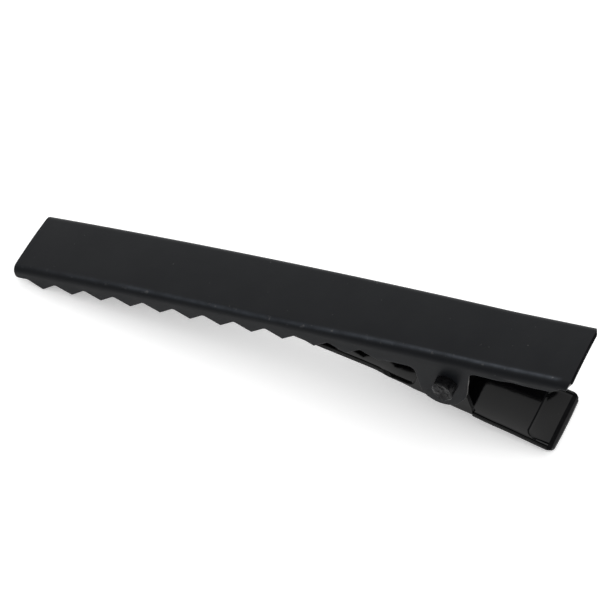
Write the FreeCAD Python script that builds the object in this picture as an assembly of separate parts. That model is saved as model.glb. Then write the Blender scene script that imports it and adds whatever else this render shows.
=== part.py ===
import FreeCAD, Part
import math
import os

os.makedirs("parts", exist_ok=True)

# Alligator hair clip of folded sheet steel: a toothed top jaw, a lever that ends
# in a flat prong, a hinge pin through both pairs of ears and a folded leaf spring.
# All lengths are in millimetres.
#
# The clip is drawn in a working frame and placed at the end. In the working frame
# X runs along the clip from the nose to the tail, Y runs across it, Z is up, and
# Z = 0 is the top face of the top jaw at the crown of its arch.

# ---- top jaw ------------------------------------------------------------------
LENGTH = 63.5
WIDTH = 8.0
SHEET = 0.5
BEND_OUTER_R = 0.8
BEND_INNER_R = 0.3

ARCH_R = 700.0            # the top face bows up along the clip
ARCH_END_X = 53.4         # crown of the arch, near the hinge
FLICK_R = 60.0            # short reverse curve behind the crown
FLICK_DEG = 2.2           # slope of the straight tail
TAIL_CORNER_R = 1.1

TOOTH_COUNT = 12
TOOTH_PITCH = 3.6
FIRST_TOOTH_X = 2.8
TOOTH_TIP_DEPTH = 2.72    # depths are measured down from the top face
TOOTH_ROOT_DEPTH = 1.63
NOSE_DEPTH = 1.5
WEB_DEPTH = 2.45
TAIL_DEPTH = 1.42
TAIL_END_DEPTH = 0.78

EAR_FRONT_X = 46.4
EAR_REAR_X = 52.6
EAR_BOTTOM_Z = -7.5

# ---- hinge --------------------------------------------------------------------
HINGE_X = 49.75
HINGE_Z = -3.85
PIN_R = 1.05
PIN_HEAD_R = 1.17
PIN_PROUD = 1.3           # how far each peened end stands out of the ear
RUNNING_GAP = 0.05        # radial gap between the pin and the lever's ears

# ---- lever --------------------------------------------------------------------
LEVER_NOSE_X = 1.5
PRONG_HALF_W = 2.9
EAR_OUTER_Y = 3.45
EAR_MID_Y = 3.2
HANDLE_FRONT_HALF_W = 3.5
HANDLE_END_HALF_W = 3.75
HANDLE_CORNER_R = 0.8
HANDLE_END_X = 59.85
CLOSED_GAP = 0.05         # prong to top jaw, at the nose, when the clip is shut
KNEE_Z_AT = (35.1, -3.84) # a point on the top face of the sloping prong
PRONG_DEG = 14.9
WAIST_X = 43.4
WAIST_DEG = 16.7
HANDLE_BEND_X = 54.4
HANDLE_DEG = 19.0
WAIST_FRONT_X = 42.4
LEVER_EAR_FRONT_X = 45.3
LEVER_EAR_REAR_X = 51.5
LEVER_EAR_R = 2.4
LEVER_EAR_RISE = 2.0      # from the hinge axis up to the top of the lever's ears
LEVER_EAR_FLARE_Z = -5.6  # below this their rear edges run out to the handle

GUTTER_R = 9.0            # behind the teeth the strip is pressed into a shallow gutter
PRONG_GUTTER_R = 6.8      # the gutter is tighter in the narrow prong
GUTTER_START_X = 27.0
GUTTER_FULL_X = 36.0
PAD_FRONT_X = 56.85       # from here on the handle is pressed nearly flat again
PAD_END_SAG = 0.15
STRIP_REACH = 4.2         # half width of the strip before its outline is cut

# ---- spring -------------------------------------------------------------------
LEAF_T = 0.3
LEAF_HALF_W = 2.8
LEAF_GAP = 0.04
LEAF_FOOT_X = 49.4
LEAF_FRONT_X = 47.1
LEAF_TIP_X = 58.2


def vec(x, z, y=0.0):
    return FreeCAD.Vector(x, y, z)


def top_z(x):
    """Height of the top face of the top jaw at x."""
    if x <= ARCH_END_X:
        return math.sqrt(ARCH_R ** 2 - (ARCH_END_X - x) ** 2) - ARCH_R
    slope = math.radians(FLICK_DEG)
    flick_end = ARCH_END_X + FLICK_R * math.sin(slope)
    if x <= flick_end:
        return FLICK_R - math.sqrt(FLICK_R ** 2 - (x - ARCH_END_X) ** 2)
    rise = FLICK_R * (1.0 - math.cos(slope))
    return rise + (x - flick_end) * math.tan(slope)


def rounded_face(corners):
    """Face in the XZ plane from (x, z, corner radius) points, in order round it."""
    edges = []
    starts = []
    ends = []
    mids = []
    count = len(corners)
    for i in range(count):
        x, z, r = corners[i]
        here = vec(x, z)
        before = vec(*corners[i - 1][:2]) - here
        after = vec(*corners[(i + 1) % count][:2]) - here
        if r <= 0.0:
            starts.append(here)
            ends.append(here)
            mids.append(None)
            continue
        half = 0.5 * before.getAngle(after)
        reach = r / math.tan(half)
        before.normalize()
        after.normalize()
        middle = before + after
        middle.normalize()
        centre = here + middle * (r / math.sin(half))
        starts.append(here + before * reach)
        ends.append(here + after * reach)
        mids.append(centre - middle * r)
    for i in range(count):
        if mids[i] is not None:
            edges.append(Part.Arc(starts[i], mids[i], ends[i]).toShape())
        following = starts[(i + 1) % count]
        if ends[i].distanceToPoint(following) > 1e-6:
            edges.append(Part.LineSegment(ends[i], following).toShape())
    return Part.Face(Part.Wire(edges))


def across(face, y_low, y_high):
    """Solid made by pushing an XZ face through from y_low to y_high."""
    solid = face.extrude(FreeCAD.Vector(0, y_high - y_low, 0))
    solid.translate(FreeCAD.Vector(0, y_low, 0))
    return solid


def plan_prism(corners):
    """Tall vertical prism from (x, y, corner radius) points of a plan outline."""
    face = rounded_face(corners)
    solid = face.extrude(FreeCAD.Vector(0, 60.0, 0))
    solid.rotate(vec(0, 0), FreeCAD.Vector(1, 0, 0), 90.0)
    solid.translate(FreeCAD.Vector(0, 0, -30.0))
    return solid


def under_top_face(depth, floor_z):
    """XZ face from the surface lying depth below the top face down to floor_z."""
    slope = math.radians(FLICK_DEG)
    low_r = ARCH_R - depth
    high_r = FLICK_R + depth
    lean = math.asin(ARCH_END_X / ARCH_R)
    arch_centre = vec(ARCH_END_X, -ARCH_R)
    flick_centre = vec(ARCH_END_X, FLICK_R)
    nose = arch_centre + vec(-math.sin(lean), math.cos(lean)) * low_r
    arch_mid = arch_centre + vec(-math.sin(lean / 2), math.cos(lean / 2)) * low_r
    crown = vec(ARCH_END_X, -depth)
    flick_mid = flick_centre + vec(math.sin(slope / 2), -math.cos(slope / 2)) * high_r
    flick_end = flick_centre + vec(math.sin(slope), -math.cos(slope)) * high_r
    run = LENGTH - flick_end.x
    tail = vec(LENGTH, flick_end.z + run * math.tan(slope))
    edges = [
        Part.Arc(nose, arch_mid, crown).toShape(),
        Part.Arc(crown, flick_mid, flick_end).toShape(),
        Part.LineSegment(flick_end, tail).toShape(),
        Part.LineSegment(tail, vec(tail.x, floor_z)).toShape(),
        Part.LineSegment(vec(tail.x, floor_z), vec(nose.x, floor_z)).toShape(),
        Part.LineSegment(vec(nose.x, floor_z), nose).toShape(),
    ]
    return Part.Face(Part.Wire(edges))


def side_corner_edges(solid, half_w, wanted):
    """Long edges of a solid that lie on both side faces and pass the wanted test."""
    found = []
    for edge in solid.Edges:
        box = edge.BoundBox
        on_side = abs(abs(box.Center.y) - half_w) < 1e-4 and box.YLength < 1e-4
        if on_side and box.XLength > 0.5 and wanted(box):
            found.append(edge)
    return found


def folded_channel():
    """The top jaw before its sides are cut: an arched channel, open below."""
    half = WIDTH / 2.0
    outer = across(under_top_face(0.0, -10.0), -half, half)
    outer_edges = side_corner_edges(outer, half, lambda box: box.ZMin > -6.0)
    outer = outer.makeFillet(BEND_OUTER_R, outer_edges)
    inner_half = half - SHEET
    inner = across(under_top_face(SHEET, -11.0), -inner_half, inner_half)
    inner_edges = side_corner_edges(inner, inner_half, lambda box: box.ZMin > -6.0)
    inner = inner.makeFillet(BEND_INNER_R, inner_edges)
    return outer.cut(inner)


def top_jaw_side():
    """Side view of the top jaw: nose, teeth, web, ear and low tail flange."""
    corners = [(-0.5, 4.0, 0.0)]
    corners.append((-0.5, top_z(0.0) - NOSE_DEPTH, 0.0))
    corners.append((1.15, top_z(1.15) - NOSE_DEPTH, 0.3))
    for k in range(TOOTH_COUNT):
        tip_x = FIRST_TOOTH_X + k * TOOTH_PITCH
        corners.append((tip_x, top_z(tip_x) - TOOTH_TIP_DEPTH, 0.16))
        if k < TOOTH_COUNT - 1:
            root_x = tip_x + TOOTH_PITCH / 2.0
            corners.append((root_x, top_z(root_x) - TOOTH_ROOT_DEPTH, 0.4))
    last_x = FIRST_TOOTH_X + (TOOTH_COUNT - 1) * TOOTH_PITCH
    corners.append((last_x + 0.75, top_z(last_x) - WEB_DEPTH, 0.3))
    corners.append((EAR_FRONT_X, top_z(EAR_FRONT_X) - WEB_DEPTH, 0.75))
    corners.append((EAR_FRONT_X + 0.2, EAR_BOTTOM_Z + 1.0, 2.0))
    corners.append((EAR_FRONT_X + 1.8, EAR_BOTTOM_Z - 0.02, 2.0))
    corners.append((EAR_FRONT_X + 3.6, EAR_BOTTOM_Z + 0.05, 2.2))
    corners.append((EAR_FRONT_X + 5.15, EAR_BOTTOM_Z + 1.85, 2.6))
    corners.append((EAR_REAR_X, top_z(EAR_REAR_X) - TAIL_DEPTH, 0.9))
    corners.append((61.3, top_z(61.3) - TAIL_DEPTH, 0.5))
    corners.append((62.5, top_z(62.5) - TAIL_END_DEPTH, 0.4))
    corners.append((LENGTH + 0.5, top_z(LENGTH) - TAIL_END_DEPTH, 0.0))
    corners.append((LENGTH + 0.5, 4.0, 0.0))
    return rounded_face(corners)


def hinge_bore(radius, y_reach):
    """Cylinder on the hinge axis, used to cut holes and to make the pin."""
    start = FreeCAD.Vector(HINGE_X, -y_reach, HINGE_Z)
    return Part.makeCylinder(radius, 2.0 * y_reach, start, FreeCAD.Vector(0, 1, 0))


def nose_corner_cut():
    """Prisms that round the lower nose corner of both side flanges."""
    low = top_z(0.0) - NOSE_DEPTH
    block = Part.makeBox(0.4, 20.0, 0.4, FreeCAD.Vector(-0.1, -10.0, low - 0.1))
    rod_at = FreeCAD.Vector(0.3, -10.0, low + 0.3)
    rod = Part.makeCylinder(0.36, 20.0, rod_at, FreeCAD.Vector(0, 1, 0))
    return block.cut(rod)


def build_top_jaw():
    half = WIDTH / 2.0
    jaw = folded_channel().common(across(top_jaw_side(), -6.0, 6.0))
    plan = plan_prism([
        (-1.0, -half - 1.0, 0.0),
        (LENGTH - 1.6, -half - 1.0, 0.0),
        (LENGTH - 1.6, -half, 0.0),
        (LENGTH, -half, TAIL_CORNER_R),
        (LENGTH, half, TAIL_CORNER_R),
        (LENGTH - 1.6, half, 0.0),
        (LENGTH - 1.6, half + 1.0, 0.0),
        (-1.0, half + 1.0, 0.0),
    ])
    jaw = jaw.common(plan)
    jaw = jaw.cut(nose_corner_cut())
    jaw = jaw.cut(hinge_bore(PIN_R, 6.0))
    return jaw.removeSplitter()


def lever_top_line():
    """Corner points of the lever's top face, nose to tail, with bend radii."""
    nose_z = top_z(LEVER_NOSE_X) - SHEET - CLOSED_GAP
    chord_x = 25.0
    chord_z = top_z(chord_x) - SHEET - CLOSED_GAP
    chord = (chord_z - nose_z) / (chord_x - LEVER_NOSE_X)
    prong = -math.tan(math.radians(PRONG_DEG))
    waist = -math.tan(math.radians(WAIST_DEG))
    handle = -math.tan(math.radians(HANDLE_DEG))
    px, pz = KNEE_Z_AT
    knee_x = (pz - prong * px - nose_z + chord * LEVER_NOSE_X) / (chord - prong)
    knee_z = nose_z + chord * (knee_x - LEVER_NOSE_X)
    waist_z = pz + prong * (WAIST_X - px)
    bend_z = waist_z + waist * (HANDLE_BEND_X - WAIST_X)
    end_z = bend_z + handle * (HANDLE_END_X - HANDLE_BEND_X)
    return [
        (LEVER_NOSE_X, nose_z, 0.0),
        (knee_x, knee_z, 9.0),
        (WAIST_X, waist_z, 20.0),
        (HANDLE_BEND_X, bend_z, 20.0),
        (HANDLE_END_X, end_z, 0.0),
    ]


def line_below(points, depth):
    """The same bent line, shifted square to itself by depth on its lower side."""
    shifted = []
    normals = []
    for i in range(len(points) - 1):
        dx = points[i + 1][0] - points[i][0]
        dz = points[i + 1][1] - points[i][1]
        size = math.hypot(dx, dz)
        normals.append((dz / size, -dx / size))
    for i in range(len(points)):
        left = normals[max(i - 1, 0)]
        right = normals[min(i, len(normals) - 1)]
        mx = left[0] + right[0]
        mz = left[1] + right[1]
        share = 2.0 / (mx * mx + mz * mz)
        x = points[i][0] + depth * share * mx
        z = points[i][1] + depth * share * mz
        r = points[i][2]
        shifted.append((x, z, r - depth if r > 0.0 else 0.0))
    return shifted


def height_on(points, x):
    """Height of a bent line at x, ignoring the rounding of its bends."""
    for i in range(len(points) - 1):
        x0, z0 = points[i][0], points[i][1]
        x1, z1 = points[i + 1][0], points[i + 1][1]
        if x <= x1 or i == len(points) - 2:
            return z0 + (z1 - z0) * (x - x0) / (x1 - x0)
    return points[-1][1]


def lever_stations():
    """(x, z, slope angle) along the lever's top face, closely spaced in its bends."""
    points = lever_top_line()
    first = math.atan2(points[1][1] - points[0][1], points[1][0] - points[0][0])
    stations = [(points[0][0], points[0][1], first)]
    for i in range(1, len(points) - 1):
        x, z, r = points[i]
        into = math.atan2(z - points[i - 1][1], x - points[i - 1][0])
        out = math.atan2(points[i + 1][1] - z, points[i + 1][0] - x)
        turn = out - into
        side = 1.0 if turn > 0.0 else -1.0
        reach = r * math.tan(abs(turn) / 2.0)
        centre_x = x - reach * math.cos(into) - side * r * math.sin(into)
        centre_z = z - reach * math.sin(into) + side * r * math.cos(into)
        steps = 6 if abs(turn) > 0.1 else 2
        for k in range(steps + 1):
            angle = into + turn * k / steps
            stations.append((centre_x + side * r * math.sin(angle),
                             centre_z - side * r * math.cos(angle), angle))
    stations.append((points[-1][0], points[-1][1], out))
    wanted = [8.0, 16.0, GUTTER_START_X, 33.0, GUTTER_FULL_X, 38.5, 41.5, 42.8, 44.2,
              46.5, 49.0, 51.0, 52.5, PAD_FRONT_X, 58.0]
    for x in wanted:
        for i in range(len(stations) - 1):
            x0, z0, a0 = stations[i]
            x1, z1, a1 = stations[i + 1]
            if x0 + 0.2 < x < x1 - 0.2:
                share = (x - x0) / (x1 - x0)
                stations.insert(i + 1, (x, z0 + share * (z1 - z0), a0 + share * (a1 - a0)))
                break
    return stations


def between(x, x0, x1):
    """Share of the way from x0 to x1, kept within 0 and 1."""
    return min(max((x - x0) / (x1 - x0), 0.0), 1.0)


def gutter_lift(x, y):
    """How far the strip stands off its flat line at (x, y); negative is below it."""
    edge = PRONG_HALF_W + 0.3 * between(x, 41.5, 44.2) + 0.4 * between(x, 51.0, 54.0)
    radius = PRONG_GUTTER_R + (GUTTER_R - PRONG_GUTTER_R) * between(x, 41.5, 44.2)
    sag = edge * edge / (2.0 * radius) * between(x, GUTTER_START_X, GUTTER_FULL_X)
    sag += (PAD_END_SAG - sag) * between(x, PAD_FRONT_X, HANDLE_END_X)
    return sag * ((y / edge) ** 2 - 1.0)


def strip_section(station):
    """Closed outline across the strip at one station, square to the strip."""
    x, z, angle = station
    up_x, up_z = -math.sin(angle), math.cos(angle)
    low = gutter_lift(x, 0.0)
    high = gutter_lift(x, STRIP_REACH)
    curves = []
    for drop in (0.0, SHEET):
        poles = []
        for y, lift in ((-STRIP_REACH, high), (0.0, 2.0 * low - high), (STRIP_REACH, high)):
            off = lift - drop
            poles.append(FreeCAD.Vector(x + up_x * off, y, z + up_z * off))
        curve = Part.BezierCurve()
        curve.setPoles(poles)
        curves.append((curve.toShape(), poles))
    top, top_poles = curves[0]
    bottom, bottom_poles = curves[1]
    right = Part.LineSegment(top_poles[2], bottom_poles[2]).toShape()
    left = Part.LineSegment(bottom_poles[0], top_poles[0]).toShape()
    return Part.Wire([top, right, bottom, left])


def lever_sheet():
    """The bent and guttered strip of the whole lever, before its outline is cut."""
    sections = []
    for station in lever_stations():
        sections.append(strip_section(station))
    return Part.makeLoft(sections, True, True)


def lever_plan():
    """Plan outline of the lever: narrow prong, wide waist, flared handle."""
    near = [
        (LEVER_NOSE_X, -PRONG_HALF_W, 1.2),
        (41.5, -PRONG_HALF_W, 1.0),
        (44.2, -EAR_OUTER_Y, 1.5),
        (LEVER_EAR_REAR_X, -HANDLE_FRONT_HALF_W, 6.0),
        (HANDLE_END_X, -HANDLE_END_HALF_W, HANDLE_CORNER_R),
    ]
    far = []
    for x, y, r in reversed(near):
        far.append((x, -y, r))
    return plan_prism(near + far)


def lever_ears():
    """Both ears, folded up from the sides of the lever's waist."""
    bottom = line_below(lever_top_line(), SHEET)
    front_x = WAIST_FRONT_X
    rear_x = LEVER_EAR_REAR_X
    block = across(rounded_face([
        (front_x, height_on(bottom, front_x), 0.0),
        (WAIST_X, height_on(bottom, WAIST_X), 19.5),
        (rear_x, height_on(bottom, rear_x), 0.0),
        (rear_x, 2.0, 0.0),
        (front_x, 2.0, 0.0),
    ]), -EAR_OUTER_Y, EAR_OUTER_Y)
    low_edges = side_corner_edges(block, EAR_OUTER_Y, lambda box: box.ZMax < 0.0)
    block = block.makeFillet(0.25, low_edges)
    inner_half = EAR_OUTER_Y - SHEET
    gap = Part.makeBox(20.0, 2.0 * inner_half, 30.0, FreeCAD.Vector(40.0, -inner_half, -20.0))
    return block.cut(gap).common(across(lever_ear_side(), -5.0, 5.0))


def lever_ear_side():
    """Side view of the lever's ears, with the floor they rise from."""
    top = lever_top_line()
    crest = HINGE_Z + LEVER_EAR_RISE
    rim = 0.12
    return rounded_face([
        (42.0, -12.0, 0.0),
        (42.0, height_on(top, 42.0) + rim, 0.0),
        (LEVER_EAR_FRONT_X, height_on(top, LEVER_EAR_FRONT_X) + rim, 0.9),
        (HINGE_X - LEVER_EAR_R, crest, 1.8),
        (LEVER_EAR_REAR_X - 0.3, crest, 1.6),
        (LEVER_EAR_REAR_X - 0.3, LEVER_EAR_FLARE_Z, 0.6),
        (LEVER_EAR_REAR_X, height_on(top, LEVER_EAR_REAR_X), 0.0),
        (LEVER_EAR_REAR_X, -12.0, 0.0),
    ])


def build_lever():
    plan = lever_plan()
    strip = lever_sheet().common(plan)
    length = LEVER_EAR_REAR_X - WAIST_FRONT_X
    for y in (EAR_MID_Y, -EAR_MID_Y - 3.0):
        corner = FreeCAD.Vector(WAIST_FRONT_X, y, -15.0)
        strip = strip.cut(Part.makeBox(length, 3.0, 20.0, corner))
    lever = strip.fuse(lever_ears().common(plan))
    lever = lever.cut(hinge_bore(PIN_R + RUNNING_GAP, 6.0))
    return lever.removeSplitter()


def build_pin():
    """Pin peened at both ends; the ends are slightly spread and unevenly sheared."""
    half = WIDTH / 2.0
    pin = hinge_bore(PIN_R, half + 0.3)
    for side in (-1.0, 1.0):
        out = FreeCAD.Vector(0, side, 0)
        seat = FreeCAD.Vector(HINGE_X, side * half, HINGE_Z)
        head = Part.makeCylinder(PIN_HEAD_R, PIN_PROUD - 0.35, seat, out)
        crown_at = FreeCAD.Vector(HINGE_X, side * (half + PIN_PROUD - 0.35), HINGE_Z)
        crown = Part.makeCone(PIN_HEAD_R, PIN_HEAD_R - 0.4, 0.35, crown_at, out)
        head = head.fuse(crown)
        tilt = Part.makeBox(4.0, 2.0, 4.0)
        tilt.translate(FreeCAD.Vector(-2.0, 0.0, -2.0))
        tilt.rotate(vec(0, 0), FreeCAD.Vector(1, 0, 0), 16.0)
        if side < 0.0:
            tilt.rotate(vec(0, 0), FreeCAD.Vector(0, 0, 1), 180.0)
        tilt.translate(FreeCAD.Vector(HINGE_X, side * (half + PIN_PROUD - 0.12), HINGE_Z))
        head = head.cut(tilt)
        pin = pin.fuse(head)
    return pin.removeSplitter()


def build_spring():
    """Leaf folded round the front of the pin, one leg up and one leg down."""
    top = lever_top_line()
    lift = LEAF_GAP + LEAF_T + gutter_lift(LEAF_FRONT_X, LEAF_HALF_W)
    foot_z = height_on(top, LEAF_FOOT_X) + lift
    front_z = height_on(top, LEAF_FRONT_X) + lift
    tip_z = top_z(LEAF_TIP_X) - SHEET - LEAF_GAP - 0.02
    upper = [
        (LEAF_FOOT_X, foot_z, 0.0),
        (LEAF_FRONT_X - 1.1, front_z + 0.33, 1.9),
        (LEAF_FRONT_X + 0.1, -1.95, 1.9),
        (50.2, -1.55, 12.0),
        (LEAF_TIP_X - 1.2, tip_z - LEAF_T + 0.02, 2.0),
        (LEAF_TIP_X, tip_z - LEAF_T - 0.12, 0.0),
    ]
    outer = []
    count = len(upper)
    normals = []
    for i in range(count - 1):
        dx = upper[i + 1][0] - upper[i][0]
        dz = upper[i + 1][1] - upper[i][1]
        size = math.hypot(dx, dz)
        normals.append((-dz / size, dx / size))
    turn = [0.0]
    for i in range(1, count - 1):
        a = normals[i - 1]
        b = normals[i]
        turn.append(a[0] * b[1] - a[1] * b[0])
    turn.append(0.0)
    for i in range(count):
        left = normals[max(i - 1, 0)]
        right = normals[min(i, count - 2)]
        mx = left[0] + right[0]
        mz = left[1] + right[1]
        share = 2.0 / (mx * mx + mz * mz)
        x = upper[i][0] + LEAF_T * share * mx
        z = upper[i][1] + LEAF_T * share * mz
        r = upper[i][2]
        if r > 0.0:
            r = r + LEAF_T if turn[i] < 0.0 else r - LEAF_T
        outer.append((x, z, r))
    outer.reverse()
    return across(rounded_face(upper + outer), -LEAF_HALF_W, LEAF_HALF_W)


def rest_tilt():
    """Angle that puts the first teeth and the lowest of the handle on one level."""
    tip_z = top_z(FIRST_TOOTH_X) - TOOTH_TIP_DEPTH + 0.03
    steepest = 0.0
    for x, z, angle in lever_stations():
        if x > HANDLE_BEND_X:
            off = gutter_lift(x, 0.0) - SHEET
            low_x = x - math.sin(angle) * off
            low_z = z + math.cos(angle) * off
            steepest = max(steepest, math.atan2(tip_z - low_z, low_x - FIRST_TOOTH_X))
    return math.degrees(steepest)


def place(shapes):
    """Tip the clip into its resting pose, then centre it with its base at Z = 0."""
    tilt = rest_tilt()
    for shape in shapes.values():
        shape.rotate(vec(0, 0), FreeCAD.Vector(0, 1, 0), -tilt)
    box = FreeCAD.BoundBox()
    for shape in shapes.values():
        box.add(shape.optimalBoundingBox())
    shift = FreeCAD.Vector(-box.Center.x, -box.Center.y, -box.ZMin)
    for shape in shapes.values():
        shape.translate(shift)
    return tilt, shift


def main():
    shapes = {
        "upper_jaw": build_top_jaw(),
        "lower_lever": build_lever(),
        "hinge_pin": build_pin(),
        "spring": build_spring(),
    }
    tilt, shift = place(shapes)
    for name, shape in shapes.items():
        shape.exportStep("parts/" + name + ".step")
        print(name, "valid", shape.isValid(), "solids", len(shape.Solids),
              "volume", round(shape.Volume, 2))
    hinge = FreeCAD.Placement()
    hinge.Rotation = FreeCAD.Rotation(FreeCAD.Vector(0, 1, 0), -tilt)
    at = hinge.multVec(vec(HINGE_X, HINGE_Z)) + shift
    print("tilt", round(tilt, 4), "shift", shift, "hinge axis at", at)


main()
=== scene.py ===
import math

import bpy
import numpy as np
from mathutils import Matrix, Vector, noise


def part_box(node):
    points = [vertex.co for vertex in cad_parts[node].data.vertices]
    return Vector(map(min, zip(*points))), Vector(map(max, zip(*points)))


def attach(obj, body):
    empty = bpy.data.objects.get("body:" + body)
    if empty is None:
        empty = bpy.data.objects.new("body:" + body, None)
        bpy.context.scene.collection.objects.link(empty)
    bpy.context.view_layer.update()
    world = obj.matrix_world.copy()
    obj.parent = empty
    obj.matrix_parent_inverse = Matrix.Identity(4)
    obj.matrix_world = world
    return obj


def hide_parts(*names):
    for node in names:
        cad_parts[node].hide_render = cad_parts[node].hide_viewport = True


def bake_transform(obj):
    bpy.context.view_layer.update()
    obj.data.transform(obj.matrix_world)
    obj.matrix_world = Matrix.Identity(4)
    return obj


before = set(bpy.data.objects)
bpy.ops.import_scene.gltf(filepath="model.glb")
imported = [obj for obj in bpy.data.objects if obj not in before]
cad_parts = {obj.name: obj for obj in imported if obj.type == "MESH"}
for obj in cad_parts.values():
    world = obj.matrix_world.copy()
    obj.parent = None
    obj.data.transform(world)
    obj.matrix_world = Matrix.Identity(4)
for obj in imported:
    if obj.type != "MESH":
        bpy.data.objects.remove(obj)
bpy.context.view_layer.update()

# Black metal hair clip. Pieces are drawn in the CAD's working frame, in millimetres
# (X from nose to tail, Y across, Z up, Z = 0 at the crown of the top jaw), and put
# into the row frame by at(). The hinge axis ties the two frames together.
MM = 0.001

HINGE_X, HINGE_Z = 49.75, -3.85
REST_TILT = math.radians(7.3371)
pin_low, pin_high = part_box("hinge_pin")
HINGE = (pin_low + pin_high) / 2

# ---- sizes of the top jaw; depths are measured down from its top face -----------
LENGTH, WIDTH, SHEET = 63.5, 8.0, 0.5
BEND_R = 0.8                        # outside of the folds between top and sides
ARCH_R, ARCH_END_X = 700.0, 53.4    # the top face bows up along the clip
FLICK_R, FLICK_SLOPE = 60.0, math.radians(2.2)
TAIL_CORNER_R = 1.1
NOSE_SKEW = 0.28                    # how far the nose is sheared out of square
CROWN = 0.009                       # the top face falls by this times y squared
TOOTH_COUNT, TOOTH_PITCH, FIRST_TOOTH_X = 12, 3.6, 2.8
TIP_DEPTH, ROOT_DEPTH = 2.72, 1.63
NOSE_DEPTH, WEB_DEPTH, TAIL_DEPTH, TAIL_END_DEPTH = 1.5, 2.45, 1.42, 0.78
EAR_FRONT_X, EAR_BOTTOM_Z = 46.4, -7.5
FLANGE_FRONT_X, FLANGE_REAR_X, FLANGE_END_X = 52.6, 61.3, 62.4
JAW_EDGE_R = 0.11                   # rounding of the cut edges
SIDE_SPREAD_X = (45.2, 53.7)        # rows from here to here are spread round the ear

MID_BEND_R = BEND_R - SHEET / 2     # the same fold, at the middle of the sheet
FLAT_HALF = WIDTH / 2 - BEND_R
SIDE_Y = FLAT_HALF + MID_BEND_R
FOLDED = FLAT_HALF + MID_BEND_R * math.pi / 2

# ---- sizes of the lever ---------------------------------------------------------
LEVER_NOSE_X, LEVER_NOSE_R, PRONG_HALF = 1.5, 1.2, 2.9
CLOSED_GAP = 0.05
CHORD_X = 25.0                      # the prong follows the jaw from its nose to here
PRONG_AT = (35.1, -3.84)            # a point on the top of the sloping prong
WAIST_X, HANDLE_BEND_X, HANDLE_END_X = 43.4, 54.4, 59.85
PRONG_SLOPE, WAIST_SLOPE, HANDLE_SLOPE = (math.tan(math.radians(a)) for a in (14.9, 16.7, 19.0))
EAR_MID_Y, EAR_START_X, EAR_UPRIGHT_X, EAR_REAR_X = 3.2, 41.5, 43.6, 51.5
EAR_RISE, EAR_FLARE_Z = 2.0, -5.6
FOLD_R = 0.27                       # folds of the ears, at the middle of the sheet
FOLD_Y = EAR_MID_Y - FOLD_R
LEVER_EDGE_R = 0.1
GUTTER_R, PRONG_GUTTER_R, END_SAG = 9.0, 6.8, 0.11
GUTTER_DEEPENS = (27.0, 36.0)       # the gutter starts here, and is full from here
STRIP_WIDENS, HANDLE_WIDENS = (41.5, 44.2), (51.0, 54.0)
PAD_X, PAD_HALF, PAD_CORNER = 56.85, 3.4, 1.0
CREASE_END_X = 58.0                 # the crease round the pad fades out about here
HANDLE_HALF, HANDLE_FLARE, HANDLE_CORNER_R = 3.5, 0.25, 0.8
RIM_ROLL, RIM_DROP = 0.32, 0.17     # width and depth of the handle's turned-down rims
END_ROLL, END_DROP = 0.5, 0.22      # the same at the handle's end
UNDER_EDGE_R = 0.12

# ---- sizes of the spring and the pin --------------------------------------------
LEAF, LEAF_HALF, LEAF_EDGE_R = 0.3, 2.8, 0.07
LEAF_FOOT_X, LEAF_FRONT_X, LEAF_TIP_X = 49.4, 47.1, 58.2
PIN_SIDES, PIN_SHEAR, PIN_SHEAR_TURN = 48, 0.16, 2.4
BLOWS, BLOW_R, GOLDEN_TURN = 26, 0.36, 2.39996    # hammer blows on each end of the pin


def at(x, y, z):
    """A point of the working frame, in the row frame."""
    dx, dz = (x - HINGE_X) * MM, (z - HINGE_Z) * MM
    c, s = math.cos(REST_TILT), math.sin(REST_TILT)
    return Vector((HINGE.x + dx * c - dz * s, HINGE.y + y * MM, HINGE.z + dx * s + dz * c))


def aim(x, y, z):
    """A direction of the working frame, in the row frame."""
    return (at(x, y, z) - at(0, 0, 0)) / MM


def smooth(a, b, x):
    t = min(max((x - a) / (b - a), 0.0), 1.0)
    return t * t * (3.0 - 2.0 * t)


def top_z(x):
    """Height of the top face of the top jaw at x."""
    if x <= ARCH_END_X:
        return math.sqrt(ARCH_R ** 2 - (ARCH_END_X - x) ** 2) - ARCH_R
    flick_end = ARCH_END_X + FLICK_R * math.sin(FLICK_SLOPE)
    if x <= flick_end:
        return FLICK_R - math.sqrt(FLICK_R ** 2 - (x - ARCH_END_X) ** 2)
    return FLICK_R * (1 - math.cos(FLICK_SLOPE)) + (x - flick_end) * math.tan(FLICK_SLOPE)


# ---- lines ---------------------------------------------------------------------
def rounded_line(corners, turn_step=math.radians(9)):
    """Points of an open line of (x, z, radius) corners with the corners rounded."""
    line = [Vector(corners[0][:2])]
    for before, here, after in zip(corners, corners[1:], corners[2:]):
        p = Vector(here[:2])
        a = (Vector(before[:2]) - p).normalized()
        b = (Vector(after[:2]) - p).normalized()
        r = here[2]
        if r <= 0:
            line.append(p)
            continue
        half = a.angle(b) / 2
        centre = p + (a + b).normalized() * (r / math.sin(half))
        spoke = p + a * (r / math.tan(half)) - centre
        turn = math.pi - 2 * half
        if a.x * b.y - a.y * b.x > 0:
            turn = -turn
        count = max(2, math.ceil(abs(turn) / turn_step))
        for k in range(count + 1):
            c, s = math.cos(turn * k / count), math.sin(turn * k / count)
            line.append(centre + Vector((spoke.x * c - spoke.y * s, spoke.x * s + spoke.y * c)))
    line.append(Vector(corners[-1][:2]))
    return line


def divided(line, longest):
    """The same line with its long runs divided."""
    out = [line[0]]
    for a, b in zip(line, line[1:]):
        if (b - a).length < 1e-6:
            continue
        count = max(1, math.ceil((b - a).length / longest))
        out += [a.lerp(b, k / count) for k in range(1, count + 1)]
    return out


def lengths(line):
    """Length along a line from its start to each of its points."""
    run = [0.0]
    for a, b in zip(line, line[1:]):
        run.append(run[-1] + (b - a).length)
    return run


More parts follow.
